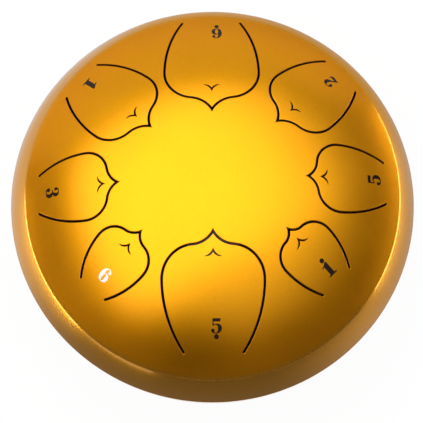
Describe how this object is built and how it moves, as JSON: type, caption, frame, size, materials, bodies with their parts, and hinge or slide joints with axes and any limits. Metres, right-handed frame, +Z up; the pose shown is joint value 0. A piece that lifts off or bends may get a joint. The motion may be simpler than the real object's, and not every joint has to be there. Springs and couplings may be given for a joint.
{
  "type": "steel tongue drum",
  "caption": "Round steel tongue drum: a domed metal shell with numbered petal-shaped tongues cut in its top, a bowl with a sound hole below, and rubber feet to stand on.",
  "frame": {"origin": "centre of the drum, on the plane that its feet stand on", "axes": "+Z up through the top of the dome, -Y towards the widest tongue, which faces the player"},
  "size_m": [0.2, 0.2, 0.1046],
  "materials": {
    "gold_paint": "metallic gold lacquer, glossy",
    "black_rubber": "matt moulded rubber",
    "zinc_steel": "bright zinc plate"
  },
  "bodies": {
    "shell": {"upper_shell": "gold_paint", "lower_shell": "gold_paint", "seam_weld": "gold_paint", "foot_1": "black_rubber", "foot_2": "black_rubber", "foot_3": "black_rubber", "foot_screw_1": "zinc_steel", "foot_screw_2": "zinc_steel", "foot_screw_3": "zinc_steel", "foot_washer_1": "zinc_steel", "foot_washer_2": "zinc_steel", "foot_washer_3": "zinc_steel", "foot_nut_1": "zinc_steel", "foot_nut_2": "zinc_steel", "foot_nut_3": "zinc_steel"},
    "tongue_low_5": {"tongue_low_5": "gold_paint"},
    "tongue_low_6": {"tongue_low_6": "gold_paint"},
    "tongue_1": {"tongue_1": "gold_paint"},
    "tongue_2": {"tongue_2": "gold_paint"},
    "tongue_3": {"tongue_3": "gold_paint"},
    "tongue_5": {"tongue_5": "gold_paint"},
    "tongue_6": {"tongue_6": "gold_paint"},
    "tongue_high_1": {"tongue_high_1": "gold_paint"}
  },
  "joints": [
    {"name": "tongue_low_5_flex", "type": "hinge", "parent": "shell", "child": "tongue_low_5", "pos_m": [0, -0.0798, 0.07838], "axis": [-1, 0, 0], "range_deg": [-0.6, 0.6], "stiffness_Nm_per_rad": 92.1},
    {"name": "tongue_low_6_flex", "type": "hinge", "parent": "shell", "child": "tongue_low_6", "pos_m": [0, 0.087, 0.07297], "axis": [1, 0, 0], "range_deg": [-0.6, 0.6], "stiffness_Nm_per_rad": 94.5},
    {"name": "tongue_1_flex", "type": "hinge", "parent": "shell", "child": "tongue_1", "pos_m": [-0.06396, 0.05659, 0.07435], "axis": [0.6626, 0.749, 0], "range_deg": [-0.6, 0.6], "stiffness_Nm_per_rad": 86},
    {"name": "tongue_2_flex", "type": "hinge", "parent": "shell", "child": "tongue_2", "pos_m": [0.06355, 0.05824, 0.07374], "axis": [0.6756, -0.7373, 0], "range_deg": [-0.6, 0.6], "stiffness_Nm_per_rad": 86.2},
    {"name": "tongue_3_flex", "type": "hinge", "parent": "shell", "child": "tongue_3", "pos_m": [-0.08409, -0.00147, 0.07541], "axis": [-0.0175, 0.9998, 0], "range_deg": [-0.6, 0.6], "stiffness_Nm_per_rad": 85},
    {"name": "tongue_5_flex", "type": "hinge", "parent": "shell", "child": "tongue_5", "pos_m": [0.08355, 0.00292, 0.07576], "axis": [0.0349, -0.9994, 0], "range_deg": [-0.6, 0.6], "stiffness_Nm_per_rad": 94.7},
    {"name": "tongue_6_flex", "type": "hinge", "parent": "shell", "child": "tongue_6", "pos_m": [-0.05727, -0.04923, 0.08146], "axis": [-0.7193, 0.6947, 0], "range_deg": [-0.6, 0.6], "stiffness_Nm_per_rad": 84.1},
    {"name": "tongue_high_1_flex", "type": "hinge", "parent": "shell", "child": "tongue_high_1", "pos_m": [0.05845, -0.04672, 0.08187], "axis": [-0.6947, -0.7193, 0], "range_deg": [-0.6, 0.6], "stiffness_Nm_per_rad": 102.4}
  ]
}
